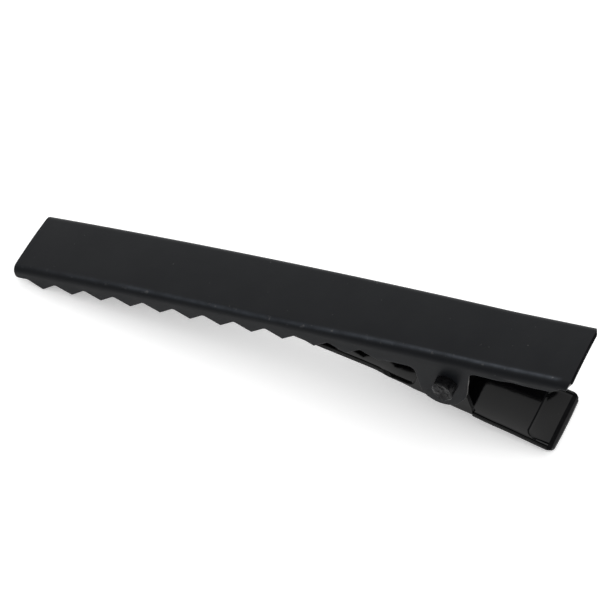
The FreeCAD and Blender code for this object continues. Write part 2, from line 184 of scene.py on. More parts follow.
def below(corners, depth):
    """A line of corners shifted square to itself, by depth to its right-hand side."""
    normals = []
    for a, b in zip(corners, corners[1:]):
        d = Vector((b[0] - a[0], b[1] - a[1])).normalized()
        normals.append(Vector((d.y, -d.x)))
    out = []
    for i, (x, z, r) in enumerate(corners):
        m = normals[max(i - 1, 0)] + normals[min(i, len(normals) - 1)]
        m *= 2.0 / m.length_squared
        out.append((x + depth * m.x, z + depth * m.y, r))
    return out


def height_on(corners, x):
    """Height of a line of corners at x, without the rounding of its bends."""
    return float(np.interp(x, [c[0] for c in corners], [c[1] for c in corners]))


# ---- sheet metal ---------------------------------------------------------------
def rim_rows(radius):
    """(distance from the cut edge, share of the rounding there) for rows near an edge."""
    steps = [math.radians(a) for a in (90, 72, 50, 25, 0)]
    return [(radius * (1 - math.cos(a)), 1 - math.sin(a)) for a in steps]


def rolled(distance, width):
    """Share of an edge's rounding left at a distance from the edge."""
    if distance >= width:
        return 0.0
    return 1 - math.sqrt(1 - (1 - max(distance, 0.0) / width) ** 2)


class Sheet:
    """A sheet of metal: middle-surface points and quads, thickened with round edges."""

    def __init__(self, thickness):
        self.half = thickness / 2
        self.points, self.over, self.under, self.faces = [], [], [], []
        # point marks: wear at the cut edges, a painted highlight along the near fold, and the dark faces
        # without gloss, which in the pad's crease are painted shade
        self.marks = {"edge": [], "fold_highlight": [], "dull_and_shade": []}

    def add(self, x, y, z, over=0.0, under=0.0, edge=0.0, fold_highlight=0.0, dull_and_shade=0.0):
        """A point; over and under are how much thinner the sheet is there on each face."""
        self.points.append((x, y, z))
        self.over.append(over)
        self.under.append(under)
        for key, value in (("edge", edge), ("fold_highlight", fold_highlight), ("dull_and_shade", dull_and_shade)):
            self.marks[key].append(value)
        return len(self.points) - 1

    def grid(self, rows):
        """Quads between neighbouring lists of point numbers."""
        for a, b in zip(rows, rows[1:]):
            for i in range(len(a) - 1):
                self.faces.append((a[i], b[i], b[i + 1], a[i + 1]))

    def build(self, name):
        p = np.array(self.points)
        f = np.array(self.faces)
        cross = np.cross(p[f[:, 2]] - p[f[:, 0]], p[f[:, 3]] - p[f[:, 1]])
        n = np.zeros_like(p)
        for k in range(4):
            np.add.at(n, f[:, k], cross)
        n /= np.maximum(np.linalg.norm(n, axis=1), 1e-12)[:, None]
        over = p + n * (self.half - np.array(self.over))[:, None]
        under = p - n * (self.half - np.array(self.under))[:, None]
        count = len(p)
        faces = [tuple(q) for q in f] + [tuple(count + i for i in reversed(q)) for q in f]
        seen = {}
        for q in f:
            for a, b in zip(q, np.roll(q, -1)):
                seen[(int(a), int(b))] = True
        for a, b in seen:
            if (b, a) not in seen:
                faces.append((b, a, count + a, count + b))
        marks = {key: np.concatenate([values, values]) for key, values in self.marks.items()}
        # the painted highlight along the fold is kept on the upper face only
        marks["fold_highlight"][count:] = 0.0
        return solid(name, np.concatenate([over, under]), faces, marks)


def solid(name, points, faces, marks=None, smooth_angle=40):
    """A mesh piece from working-frame points, with soft shading and point marks."""
    mesh = bpy.data.meshes.new(name)
    mesh.from_pydata([at(*map(float, p)) for p in points], [], [list(map(int, q)) for q in faces])
    mesh.validate()
    for key, values in (marks or {}).items():
        layer = mesh.attributes.new(key, "FLOAT", "POINT")
        layer.data.foreach_set("value", np.asarray(values, np.float32))
    mesh.update()
    mesh.shade_smooth()
    mesh.set_sharp_from_angle(angle=math.radians(smooth_angle))
    piece = bpy.data.objects.new(name, mesh)
    bpy.context.scene.collection.objects.link(piece)
    return piece


# ---- top jaw -------------------------------------------------------------------
def jaw_outline():
    """Lower edge of the top jaw's sides, nose to tail."""
    corners = [(0.0, top_z(0) - 1.0, 0.0), (0.0, top_z(0) - NOSE_DEPTH, 0.34),
               (1.15, top_z(1.15) - NOSE_DEPTH, 0.3)]
    for k in range(TOOTH_COUNT):
        tip = FIRST_TOOTH_X + k * TOOTH_PITCH
        corners.append((tip, top_z(tip) - TIP_DEPTH, 0.16))
        if k < TOOTH_COUNT - 1:
            root = tip + TOOTH_PITCH / 2
            corners.append((root, top_z(root) - ROOT_DEPTH, 0.4))
    last = FIRST_TOOTH_X + (TOOTH_COUNT - 1) * TOOTH_PITCH
    e, b = EAR_FRONT_X, EAR_BOTTOM_Z
    corners += [
        (last + 0.75, top_z(last) - WEB_DEPTH, 0.3),
        (e, top_z(e) - WEB_DEPTH, 0.75),
        (e + 0.2, b + 1.0, 2.0),
        (e + 1.8, b - 0.02, 2.0),
        (e + 3.6, b + 0.05, 2.2),
        (e + 5.15, b + 1.85, 2.6),
        (FLANGE_FRONT_X, top_z(FLANGE_FRONT_X) - TAIL_DEPTH, 0.9),
        (FLANGE_REAR_X, top_z(FLANGE_REAR_X) - TAIL_DEPTH, 0.5),
        (FLANGE_END_X, top_z(FLANGE_END_X) - TAIL_END_DEPTH, 0.4),
    ]
    line = divided(rounded_line(corners), 0.3)[1:]
    for k in range(1, 19):
        x = LENGTH - TAIL_CORNER_R + TAIL_CORNER_R * math.sin(math.radians(5 * k))
        line.append(Vector((x, top_z(x) - TAIL_END_DEPTH)))
    return line


def jaw_half_width(x):
    start = LENGTH - TAIL_CORNER_R
    if x <= start:
        return WIDTH / 2
    return WIDTH / 2 - TAIL_CORNER_R + math.sqrt(max(TAIL_CORNER_R ** 2 - (x - start) ** 2, 0))


def jaw_bow(x, y):
    """The top face's crown, and the faint unevenness that stamping leaves in it."""
    swell = 0.012 * noise.noise(Vector((x * 0.11, y * 0.22, 3.7)))
    inward = SIDE_Y - abs(y)
    return swell * smooth(0.0, 0.6, inward) + CROWN * (FLAT_HALF ** 2 - min(abs(y), FLAT_HALF) ** 2)


def flange_push(x, depth):
    """How far the near side stands out of true: a small dent behind the ear."""
    dent = -0.07 * math.exp(-((x - 57.3) / 0.8) ** 2) + 0.05 * math.exp(-((x - 55.6) / 0.9) ** 2)
    return dent * smooth(0.75, 1.15, depth) + 0.015 * noise.noise(Vector((x * 0.35, depth, 9.1)))


def turned(length):
    """Point (out, down) at a length along the section, which runs flat and then turns down."""
    if length <= FLAT_HALF:
        return length, 0.0
    if length <= FOLDED:
        a = (length - FLAT_HALF) / MID_BEND_R
        return FLAT_HALF + MID_BEND_R * math.sin(a), MID_BEND_R * (1 - math.cos(a))
    return SIDE_Y, MID_BEND_R + length - FOLDED


def painted_fold_highlight(x, y):
    """Painted highlight: a line of brighter colour that runs along the start of the near fold."""
    into = y - FLAT_HALF
    if into > 0:
        into = MID_BEND_R * math.asin(min(into / MID_BEND_R, 1.0))
    centre = float(np.interp(x, (12, 31, 44, 52), (0.18, 0.34, 0.12, 0.02)))
    strength = float(np.interp(x, (2, 15, 30, 56), (0.1, 0.6, 0.6, 1.1)))
    return strength * smooth(0.9, 1.6, LENGTH - x) * math.exp(-((into - centre) / 0.14) ** 2)


def jaw_stations():
    """(x on the top face, point on the lower edge, its direction, in the ear) per row."""
    line = jaw_outline()
    run = lengths(line)
    first, last = (next(i for i, p in enumerate(line) if p.x > x) for x in SIDE_SPREAD_X)
    stations = []
    x = 0.0
    for i, low in enumerate(line):
        in_ear = first <= i <= last
        wanted = low.x
        if in_ear:
            part = (run[i] - run[first]) / (run[last] - run[first])
            wanted = line[first].x + part * (line[last].x - line[first].x)
        if i:
            x = max(wanted, x + 0.012)
        tangent = (line[min(i + 1, len(line) - 1)] - line[max(i - 1, 0)]).normalized()
        stations.append((x, low, tangent, in_ear))
    return stations


def jaw_section(x, low, tangent, in_ear):
    """Half a section of the top jaw, as (x, y, z, share of the edge's rounding) points."""
    level = top_z(x) - SHEET / 2
    total = FOLDED + (1.0 if in_ear else top_z(low.x) - low.y - BEND_R)
    half = jaw_half_width(x)
    if half < FLAT_HALF:
        total = min(total, half)
    elif half < SIDE_Y:
        total = min(total, FLAT_HALF + MID_BEND_R * math.asin((half - FLAT_HALF) / MID_BEND_R))
    has_side = total > FOLDED + 0.1
    hang = max(total - FOLDED, 0.22)
    arc_from = min(FLAT_HALF, total - hang - 0.12)
    row = [(x, arc_from * k / 16, level, 0.0) for k in range(17)]
    for k in range(1, 9):
        y, down = turned(arc_from + (total - hang - arc_from) * k / 8)
        row.append((x, y, level - down, 0.0))

    # the side runs down a curve that meets the cut edge square, or nearly
    start = Vector((x, row[-1][2]))
    inward = Vector((-tangent.y, tangent.x))
    steep = smooth(0.6, 0.95, abs(inward.x)) if in_ear else 0.0
    pull = (inward * steep + Vector((0, 1)) * (1 - steep)).normalized()
    knee = low + pull * min((low - start).length * 0.42, 1.0)
    path = [start * (1 - t) ** 2 + knee * 2 * t * (1 - t) + low * t * t for t in (k / 40 for k in range(41))]
    far = lengths(path)
    stretch = 1.0 if steep > 0 or not has_side else 1 / max(inward.y, 0.5)
    span = far[-1] if has_side else hang
    steps = [((span - JAW_EDGE_R * stretch) * k / 6, 0.0) for k in range(1, 6)]
    steps += [(span - u * stretch, share) for u, share in rim_rows(JAW_EDGE_R)]
    for step, share in steps:
        if has_side:
            px = float(np.interp(step, far, [q.x for q in path]))
            pz = float(np.interp(step, far, [q.y for q in path]))
            row.append((px, SIDE_Y, pz, share))
        else:
            y, down = turned(total - hang + step)
            row.append((x, y, level - down, share))
    return row


def build_jaw():
    sheet = Sheet(SHEET)
    rows = []
    for x, low, tangent, in_ear in jaw_stations():
        end_share = max(rolled(x, JAW_EDGE_R), rolled(LENGTH - x, JAW_EDGE_R))
        section = jaw_section(x, low, tangent, in_ear)
        sides = []
        for sign in (-1, 1):
            side = []
            for px, y, pz, share in section:
                share = max(share, end_share)
                trim = JAW_EDGE_R * share
                depth = top_z(px) - pz
                push = flange_push(px, depth) if sign < 0 and y > SIDE_Y - 0.01 else 0.0
                # painted highlight along the start of the near fold, on the near side only
                fold_highlight = painted_fold_highlight(px, y) if sign < 0 and depth < BEND_R + 0.05 else 0.0
                dull_and_shade = 1.0 if px > LENGTH - 0.07 else 0.0
                skew = NOSE_SKEW * (SIDE_Y - sign * y) / (2 * SIDE_Y) * (1 - smooth(0.0, 1.2, px))
                side.append(sheet.add(px - skew, sign * (y + push), pz + jaw_bow(px, sign * y),
                                      trim, trim, share, fold_highlight, dull_and_shade))
            sides.append(side)
        sides[1][0] = sides[0][0]
        rows.append(sides[0][::-1] + sides[1][1:])
    sheet.grid(rows)
    return sheet.build("jaw_shell")


# ---- lever ---------------------------------------------------------------------
def lever_corners():
    """Top line of the lever, nose to tail, as (x, z, bend radius) corners."""
    nose_z = top_z(LEVER_NOSE_X) - SHEET - CLOSED_GAP
    chord = (top_z(CHORD_X) - SHEET - CLOSED_GAP - nose_z) / (CHORD_X - LEVER_NOSE_X)
    px, pz = PRONG_AT
    knee_x = (pz + PRONG_SLOPE * px - nose_z + chord * LEVER_NOSE_X) / (chord + PRONG_SLOPE)
    knee_z = nose_z + chord * (knee_x - LEVER_NOSE_X)
    waist_z = pz - PRONG_SLOPE * (WAIST_X - px)
    bend_z = waist_z - WAIST_SLOPE * (HANDLE_BEND_X - WAIST_X)
    end_z = bend_z - HANDLE_SLOPE * (HANDLE_END_X - HANDLE_BEND_X)
    return [(LEVER_NOSE_X, nose_z, 0.0), (knee_x, knee_z, 9.0), (WAIST_X, waist_z, 20.0),
            (HANDLE_BEND_X, bend_z, 20.0), (HANDLE_END_X, end_z, 0.0)]


def stepped(start, stop, step):
    return list(np.arange(start, stop, step))


def lever_stations():
    """Places along the lever, close together where its shape changes."""
    xs = [LEVER_NOSE_X + LEVER_NOSE_R * (1 - math.cos(math.radians(a))) for a in range(0, 91, 9)]
    xs += stepped(3.2, 29.0, 0.9) + stepped(29.0, 41.4, 0.45)
    xs += stepped(EAR_START_X, 45.0, 0.14) + stepped(45.0, 47.6, 0.08) + stepped(47.6, 49.8, 0.2)
    xs += [49.8 + 1.4 * math.sin(math.radians(a)) for a in range(0, 86, 6)]
    xs += stepped(51.2, 51.49, 0.02) + [EAR_REAR_X]
    xs += stepped(EAR_REAR_X + 0.06, 56.7, 0.13) + stepped(56.7, 57.4, 0.035) + stepped(57.4, 59.0, 0.1)
    start = HANDLE_END_X - HANDLE_CORNER_R
    xs += [start + HANDLE_CORNER_R * math.sin(math.radians(a)) for a in range(0, 91, 6)]
    return xs


def ear_height():
    """Top outline of the lever's ears, as x and z lists."""
    top = lever_corners()
    crest = HINGE_Z + EAR_RISE
    corners = [(41.0, height_on(top, 41.0) + 0.03, 0), (45.3, height_on(top, 45.3) + 0.03, 0.9),
               (HINGE_X - 2.4, crest, 1.8), (EAR_REAR_X - 0.3, crest, 1.6),
               (EAR_REAR_X - 0.27, EAR_FLARE_Z, 0.3), (EAR_REAR_X + 0.01, -8.5, 0)]
    out = rounded_line(corners, math.radians(5))
    return [p.x for p in out], [p.y for p in out]


def trough(x, y):
    """The lever is a shallow gutter: how far its middle surface lies below its edges."""
    widened = smooth(*STRIP_WIDENS, x)
    edge = PRONG_HALF + 0.3 * widened + 0.4 * smooth(*HANDLE_WIDENS, x)
    radius = PRONG_GUTTER_R + (GUTTER_R - PRONG_GUTTER_R) * widened
    sag = edge * edge / (2 * radius) * smooth(*GUTTER_DEEPENS, x)
    sag += (END_SAG - sag) * min(max((x - PAD_X) / (HANDLE_END_X - PAD_X), 0.0), 1.0)
    return sag * ((y / edge) ** 2 - 1)


def inside_pad(x, y):
    """Distance inside the outline of the pressed pad at the end of the handle."""
    dx, dy = PAD_CORNER - (x - PAD_X), abs(y) - (PAD_HALF - PAD_CORNER)
    if dx <= 0 or dy <= 0:
        return min(x - PAD_X, PAD_HALF - abs(y))
    return PAD_CORNER - math.hypot(dx, dy)


def waist_sink(x):
    """The folding of the ears has pulled the strip between them down a little."""
    return -0.15 * smooth(45.5, 51.0, x) * (1 - smooth(51.6, 56.5, x))


def crease_shade_and_dull_end(x, y):
    """Where the dark material without gloss goes: painted shade along the crease round the pad, and a band at
    the sheared end.
    """
    # painted shade: a dark line along the pad's crease, fading out towards the handle's end
    crease_shade = 1 - smooth(0.05, 0.1, abs(inside_pad(x, y) - 0.04))
    end = smooth(59.2, 59.26, x) * (1 - smooth(59.58, 59.64, x))
    fade = 1 - smooth(CREASE_END_X - 0.1, CREASE_END_X + 0.4, x)
    return max(crease_shade * smooth(56.0, 56.5, x) * fade, end)


def handle_shape(x, y):
    """How far the lever's middle surface stands off its line: gutter, pad and ripples."""
    deep = inside_pad(x, y)
    pad = -0.08 * smooth(0.0, 0.06, deep) + 0.05 * smooth(0.08, 0.4, deep)
    ripple = 0.006 * noise.noise(Vector((x * 0.5, y * 0.5, 1.3))) * smooth(51.8, 53.0, x)
    return trough(x, y) + waist_sink(x) + pad + ripple


def strip_half_width(x):
    """Half width of the strip, up to where the ears and the handle's rims begin."""
    if x >= 43.0:
        return FOLD_Y
    before_full = LEVER_NOSE_R - min(x - LEVER_NOSE_X, LEVER_NOSE_R)
    half = PRONG_HALF - LEVER_NOSE_R + math.sqrt(max(LEVER_NOSE_R ** 2 - before_full ** 2, 0))
    return half + (FOLD_Y - PRONG_HALF) * smooth(40.0, EAR_START_X, x)


def end_trims(x):
    """Thinning of the lever's upper and lower face at its nose and its tail."""
    nose = rolled(x - LEVER_NOSE_X, LEVER_EDGE_R) * LEVER_EDGE_R
    tail = HANDLE_END_X - x
    over = END_DROP * rolled(tail, END_ROLL) if x > CREASE_END_X else nose
    return over, max(UNDER_EDGE_R * rolled(tail, UNDER_EDGE_R), nose)


def strip_rows(sheet, x, z, up):
    """The strip's points at x, from its middle outwards, for the near and the far side."""
    half = strip_half_width(x)
    end_over, end_under = end_trims(x)
    rim = rim_rows(LEVER_EDGE_R)[1:]
    points = [((half - LEVER_EDGE_R) * (1 - (1 - k / 30) ** 1.25), 0.0) for k in range(31)]
    points += [(half - u, share if x < EAR_START_X else 0.0) for u, share in rim]
    rows = []
    for sign in (-1, 1):
        row = []
        for y, share in points:
            lift = handle_shape(x, sign * y)
            trim = LEVER_EDGE_R * share
            row.append(sheet.add(x + up.x * lift, sign * y, z + up.y * lift, max(trim, end_over),
                                 max(trim, end_under), max(share, end_over / END_DROP), 0.0, crease_shade_and_dull_end(x, y)))
        rows.append(row)
    rows[1][0] = rows[0][0]
    return rows


def ear_row(sheet, root, x, z, sign, crest, slope):
    """One upright row of an ear, folded up from the strip's last point."""
    edge = rolled(EAR_REAR_X - x, LEVER_EDGE_R)
    sink = trough(x, FOLD_Y) + waist_sink(x)
    lean = math.atan((trough(x, FOLD_Y) - trough(x, FOLD_Y - 0.1)) / 0.1)
    turn = max(math.pi / 2 * smooth(41.0, EAR_UPRIGHT_X, x), lean + 0.01)
    risen = max(crest - z - sink - FOLD_R, 0.1) + FOLD_R * (math.pi / 2 - lean)
    long = 0.02 + (risen - 0.02) * smooth(EAR_START_X, EAR_UPRIGHT_X, x)
    reach = min(LEVER_EDGE_R * math.hypot(1, min(slope, 3.0)), long * 0.5)
    arc = min(FOLD_R * (turn - lean), (long - reach) * 0.6)
    steps = [(arc * k / 6, 0.0) for k in range(1, 7)]
    steps += [(arc + (long - reach - arc) * k / 7, 0.0) for k in range(1, 7)]
    steps += [(long - u / LEVER_EDGE_R * reach, share) for u, share in rim_rows(LEVER_EDGE_R)]
    row = [root]
    for step, share in steps:
        a = min(lean + step / FOLD_R, turn)
        straight = max(step - FOLD_R * (turn - lean), 0.0)
        share = max(share * min(1.0, long / 0.3), edge)
        trim = LEVER_EDGE_R * share
        sharpen = 0.11 * math.sin(2 * a) ** 2 * smooth(44.0, 45.5, x) if step <= arc else 0.0
        side = FOLD_Y + FOLD_R * (math.sin(a) - math.sin(lean)) + straight * math.cos(turn)
        rise = sink + FOLD_R * (math.cos(lean) - math.cos(a)) + straight * math.sin(turn)
        row.append(sheet.add(x, sign * side, z + rise, trim, trim - sharpen, share))
    return row


def rim_row(sheet, root, x, z, up, sign):
    """One row across the handle's side, from the strip's last point to its turned-down rim."""
    wide = HANDLE_HALF + HANDLE_FLARE * (x - 51.8) / (HANDLE_END_X - 51.8)
    past = x - (HANDLE_END_X - HANDLE_CORNER_R)
    if past > 0:
        wide -= HANDLE_CORNER_R - math.sqrt(max(HANDLE_CORNER_R ** 2 - past ** 2, 0))
    end_over, end_under = end_trims(x)
    front = LEVER_EDGE_R * rolled(x - EAR_REAR_X, LEVER_EDGE_R)
    span = wide - FOLD_Y
    roll = min(RIM_ROLL, span * 0.9)
    ins = [share * roll for share in (0.0, 0.044, 0.133, 0.267, 0.444, 0.667, 0.889)]
    ins += [roll + (span - roll) * k / 10 for k in range(10)]
    row = [root]
    for inwards in reversed(ins):
        y = wide - inwards
        over = max(RIM_DROP * rolled(inwards, roll), end_over, front)
        under = max(UNDER_EDGE_R * rolled(inwards, 0.14), end_under, front)
        lift = handle_shape(x, sign * y)
        row.append(sheet.add(x + up.x * lift, sign * y, z + up.y * lift, over, under,
                             min(over / RIM_DROP, 1.0), 0.0, crease_shade_and_dull_end(x, y)))
    return row


def build_lever():
    mid_line = divided(rounded_line(below(lever_corners(), SHEET / 2), math.radians(1.5)), 0.1)
    line_x, line_z = [p.x for p in mid_line], [p.y for p in mid_line]
    ear_x, ear_z = ear_height()
    sheet = Sheet(SHEET)
    floor_rows, ears, rims = [], {1: [], -1: []}, {1: [], -1: []}
    for x in lever_stations():
        z = float(np.interp(x, line_x, line_z))
        dz = (np.interp(x + 0.05, line_x, line_z) - np.interp(x - 0.05, line_x, line_z)) / 0.1
        up = Vector((-dz, 1.0)).normalized()
        near_row, far_row = strip_rows(sheet, x, z, up)
        floor_rows.append(near_row[::-1] + far_row[1:])
        for sign, row in ((-1, near_row), (1, far_row)):
            if EAR_START_X <= x <= EAR_REAR_X:
                crest = float(np.interp(x, ear_x, ear_z))
                rise = np.interp(x + 0.02, ear_x, ear_z) - np.interp(x - 0.02, ear_x, ear_z)
                slope = abs(float(rise)) / 0.04
                ears[sign].append(ear_row(sheet, row[-1], x, z, sign, crest, slope))
            if x >= EAR_REAR_X:
                rims[sign].append(rim_row(sheet, row[-1], x, z, up, sign))
    sheet.grid(floor_rows)
    for part in (ears, rims):
        sheet.grid([row[::-1] for row in part[-1]])
        sheet.grid(part[1])
    return sheet.build("lever_shell")


# ---- spring --------------------------------------------------------------------
def build_spring():
    """A leaf folded round the front of the pin, drawn along the middle of its thickness."""
    lift = trough(LEAF_FRONT_X, LEAF_HALF) + 0.04 + LEAF / 2
    foot_z = height_on(lever_corners(), LEAF_FOOT_X) + lift
    front_z = height_on(lever_corners(), LEAF_FRONT_X - 1.1) + lift
    tip_z = top_z(LEAF_TIP_X) - SHEET - 0.06 - LEAF / 2
    corners = [(LEAF_FOOT_X, foot_z, 0), (LEAF_FRONT_X - 1.1, front_z + 0.3, 2.05),
               (LEAF_FRONT_X + 0.1, -1.82, 2.05), (50.2, -1.42, 12.0),
               (LEAF_TIP_X - 1.2, tip_z + 0.02, 2.0), (LEAF_TIP_X, tip_z - 0.1, 0)]
    line = divided(rounded_line(corners, math.radians(6)), 0.25)
    run = lengths(line)
    sheet = Sheet(LEAF)
    rows = []
    for p, s in zip(line, run):
        end = min(s, run[-1] - s)
        half = LEAF_HALF - 0.5 * rolled(end, 0.6)
        points = [((half - LEAF_EDGE_R) * k / 10, 0.0) for k in range(11)]
        points += [(half - u, share) for u, share in rim_rows(LEAF_EDGE_R)[1:]]
        sides = []
        for sign in (-1, 1):
            side = []
            for y, share in points:
                share = max(share, rolled(end, LEAF_EDGE_R))
                trim = LEAF_EDGE_R * share
                side.append(sheet.add(p.x, sign * y, p.y, trim, trim, share))
            sides.append(side)
        sides[1][0] = sides[0][0]
        rows.append(sides[0][::-1] + sides[1][1:])
    sheet.grid(rows)
    return sheet.build("spring_leaf")


# ---- hinge pin -----------------------------------------------------------------
def pin_ring(y, radius, rough):
    """Points round the pin at y; the ends are sheared a little out of square."""
    side = math.copysign(1.0, y)
    points = []
    for k in range(PIN_SIDES):
        a = 2 * math.pi * k / PIN_SIDES
        r = radius * (1 + rough * noise.noise(Vector((math.cos(a) * 1.7, math.sin(a) * 1.7, y * 1.1))))
        lean = PIN_SHEAR * math.cos(a - PIN_SHEAR_TURN) * smooth(0.5, 1.3, abs(y) - WIDTH / 2)
        points.append((HINGE_X + r * math.cos(a), y - side * lean, HINGE_Z + r * math.sin(a)))
    return points


def hammer(points):
    """Cut each end of the pin by a handful of tilted planes, as hammering does."""
    half = WIDTH / 2
    for sign in (-1, 1):
        for k in range(BLOWS):
            a, d = k * GOLDEN_TURN, 0.95 * math.sqrt((k + 0.5) / BLOWS)
            cx, cz = HINGE_X + d * math.cos(a), HINGE_Z + d * math.sin(a)
            tilt_x = 0.55 * noise.noise(Vector((k * 1.31, sign * 2.0, 0.4)))
            tilt_z = 0.55 * noise.noise(Vector((k * 1.77, sign * 3.0, 7.4)))
            level = half + 1.17 + 0.1 * noise.noise(Vector((k * 0.93, 4.2, sign)))
            x, y, z = points[:, 0], points[:, 1] * sign, points[:, 2]
            near = (np.hypot(x - cx, z - cz) < BLOW_R) & (y > half + 0.75)
            lean = PIN_SHEAR * np.cos(np.arctan2(z - HINGE_Z, x - HINGE_X) - PIN_SHEAR_TURN)
            plane = level + tilt_x * (x - cx) + tilt_z * (z - cz)
            plane -= lean * np.hypot(z - HINGE_Z, x - HINGE_X) / 1.15
            points[near, 1] = sign * np.minimum(y[near], plane[near])


def build_pin():
    """The pin, its ends cropped and hammered over, so they are rough and faceted."""
    # (y, radius, roughness, wear) from inside the ears out to the end's middle
    profile = [(3.2, 1.05, 0.0, 0.0), (3.95, 1.05, 0.0, 0.0), (4.02, 1.16, 0.02, 0.0),
               (4.3, 1.15, 0.03, 0.0), (4.7, 1.13, 0.04, 0.1), (5.0, 1.15, 0.06, 0.3),
               (5.12, 1.14, 0.08, 0.7), (5.2, 1.08, 0.1, 1.0), (5.24, 0.98, 0.12, 1.0),
               (5.22, 0.86, 0.16, 1.0), (5.2, 0.72, 0.2, 1.0), (5.2, 0.58, 0.25, 1.0),
               (5.21, 0.44, 0.3, 1.0), (5.22, 0.3, 0.3, 1.0), (5.22, 0.15, 0.2, 1.0)]
    points, faces, marks, rings = [], [], [], []
    for sign, side in ((-1, reversed(profile)), (1, profile)):
        for y, radius, rough, mark in side:
            ring = pin_ring(sign * y, radius, rough)
            rings.append(range(len(points), len(points) + len(ring)))
            points += ring
            marks += [mark] * len(ring)
    for a, b in zip(rings, rings[1:]):
        for k in range(len(a)):
            faces.append((a[k - 1], a[k], b[k], b[k - 1]))
    for ring, flip in ((rings[0], True), (rings[-1], False)):
        centre = len(points)
        points.append(tuple(np.mean([points[i] for i in ring], axis=0)))
        marks.append(1.0)
        for k in range(len(ring)):
            edge = (ring[k], ring[k - 1]) if flip else (ring[k - 1], ring[k])
            faces.append((*edge, centre))
    points = np.array(points)
    hammer(points)
    return solid("pin_peened", points, faces, {"edge": marks}, smooth_angle=14)


# ---- materials -----------------------------------------------------------------
def new_material(name):
    mat = bpy.data.materials.new(name)
    mat.use_nodes = True
    nodes = mat.node_tree.nodes
    bsdf = nodes.get("Principled BSDF") or nodes.new("ShaderNodeBsdfPrincipled")
    return mat, nodes, mat.node_tree.links, bsdf


def noise_node(nodes, links, scale, detail=4.0, rough=0.55):
    coords = nodes.get("piece_coords")
    if coords is None:
        coords = nodes.new("ShaderNodeTexCoord")
        coords.name = "piece_coords"
    tex = nodes.new("ShaderNodeTexNoise")
    tex.inputs["Scale"].default_value = scale
    tex.inputs["Detail"].default_value = detail
    tex.inputs["Roughness"].default_value = rough
    links.new(coords.outputs["Object"], tex.inputs["Vector"])
    return tex.outputs["Fac"]


def remap(nodes, links, value, low, high, out_low, out_high):
    m = nodes.new("ShaderNodeMapRange")
    for i, v in enumerate((low, high, out_low, out_high), 1):
        m.inputs[i].default_value = v
    links.new(value, m.inputs[0])
    return m.outputs[0]


def multiply(nodes, links, a, b):
    m = nodes.new("ShaderNodeMath")
    m.operation = "MULTIPLY"
    links.new(a, m.inputs[0])
    links.new(b, m.inputs[1])
    return m.outputs[0]


def mix_colour(nodes, links, share, a, b):
    m = nodes.new("ShaderNodeMix")
    m.data_type = "RGBA"
    links.new(share, m.inputs["Factor"])
    for sock, value in ((m.inputs[6], a), (m.inputs[7], b)):
        if isinstance(value, tuple):
            sock.default_value = (*value, 1)
        else:
            links.new(value, sock)
    return m.outputs[2]


def bumps(nodes, links, layers):
    """A chain of bump nodes from (height, distance in metres, strength) layers."""
    last = None
    for height, distance, strength in layers:
        b = nodes.new("ShaderNodeBump")
        b.inputs["Distance"].default_value = distance
        b.inputs["Strength"].default_value = strength
        links.new(height, b.inputs["Height"])
        if last is not None:
            links.new(last, b.inputs["Normal"])
        last = b.outputs["Normal"]
    return last


def attribute(nodes, name):
    a = nodes.new("ShaderNodeAttribute")
    a.attribute_name = name
    return a.outputs["Fac"]


def paint(name, colour, mottled, bare, painted_highlight, rough, rough_spread, specular, grain, peel, wear):
    """Baked paint on steel: mottled colour, grain, orange peel and wear at the edges, with a painted
    highlight and painted glints along the near fold.
    """
    mat, nodes, links, bsdf = new_material(name)
    cloud = noise_node(nodes, links, 260, 5)
    base = mix_colour(nodes, links, remap(nodes, links, cloud, 0.35, 0.65, 0, 1), colour, mottled)
    fleck = noise_node(nodes, links, 2600, 2, 0.4)
    base = mix_colour(nodes, links, remap(nodes, links, fleck, 0.76, 0.8, 0, 0.2), base, bare)
    broken = remap(nodes, links, noise_node(nodes, links, 900, 6, 0.7), 0.35, 0.55, 0, 1)
    worn = multiply(nodes, links, remap(nodes, links, attribute(nodes, "edge"), 0.45, 1.0, 0, wear), broken)
    base = mix_colour(nodes, links, worn, base, bare)
    # painted highlight: a bluish, patchy line of colour where the fold mark is set
    highlight_patches = remap(nodes, links, noise_node(nodes, links, 700, 4, 0.6), 0.3, 0.7, 0.35, 1.0)
    base = mix_colour(nodes, links, multiply(nodes, links, attribute(nodes, "fold_highlight"), highlight_patches), base, painted_highlight)
    # painted glints: specks of the bare colour along the same painted highlight
    fold_glints = remap(nodes, links, noise_node(nodes, links, 1500, 2, 0.4), 0.66, 0.72, 0, 0.45)
    base = mix_colour(nodes, links, multiply(nodes, links, attribute(nodes, "fold_highlight"), fold_glints), base, bare)
    links.new(base, bsdf.inputs["Base Color"])
    smear = noise_node(nodes, links, 90, 5, 0.6)
    links.new(remap(nodes, links, smear, 0.3, 0.7, rough - rough_spread, rough + rough_spread),
              bsdf.inputs["Roughness"])
    bsdf.inputs["Specular IOR Level"].default_value = specular
    fine = noise_node(nodes, links, 9000, 3)
    wavy = noise_node(nodes, links, 1300, 2)
    links.new(bumps(nodes, links, [(wavy, peel, 1.0), (fine, grain, 1.0)]), bsdf.inputs["Normal"])
    return mat


def matt_black():
    # the painted highlight along the near fold takes the bluish colour given here
    return paint("matt_black", colour=(0.0045, 0.0052, 0.0065), mottled=(0.006, 0.0067, 0.008),
                 bare=(0.16, 0.156, 0.152), painted_highlight=(0.046, 0.052, 0.062), rough=0.42, rough_spread=0.03,
                 specular=0.1, grain=0.000004, peel=0.000006, wear=0.9)


def gloss_black():
    return paint("gloss_black", colour=(0.0014, 0.0014, 0.0017), mottled=(0.002, 0.002, 0.0022),
                 bare=(0.06, 0.06, 0.06), painted_highlight=(0.002, 0.002, 0.002), rough=0.07, rough_spread=0.02,
                 specular=0.165, grain=0.0000004, peel=0.000003, wear=0.1)


